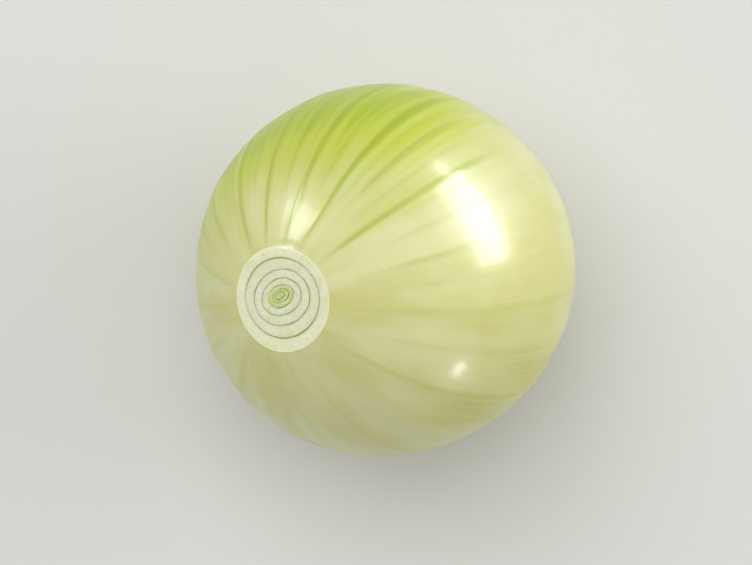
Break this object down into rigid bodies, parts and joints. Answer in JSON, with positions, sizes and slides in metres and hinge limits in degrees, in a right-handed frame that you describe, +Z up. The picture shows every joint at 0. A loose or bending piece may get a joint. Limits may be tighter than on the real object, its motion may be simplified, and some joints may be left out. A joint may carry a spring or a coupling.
{
  "type": "peeled yellow onion",
  "caption": "Peeled yellow onion with green veins, a cut neck that shows the rings of its scales, and a trimmed root plate, leaning on a small flat spot.",
  "frame": {"origin": "middle of the small flat spot that the bulb rests on, straight below its weight", "axes": "+Z up. The bulb's own axis runs from the root plate, low at the +X side, to the cut neck, high at the -X side, and leans 31 degrees from upright towards a bearing 196 degrees anticlockwise from +X"},
  "size_m": [0.0683, 0.0669, 0.0693],
  "materials": {
    "fleshy_scale": "smooth moist onion flesh, cream to yellow-green, satin gloss"
  },
  "bodies": {
    "root": {"onion_bulb": "fleshy_scale"}
  },
  "joints": []
}
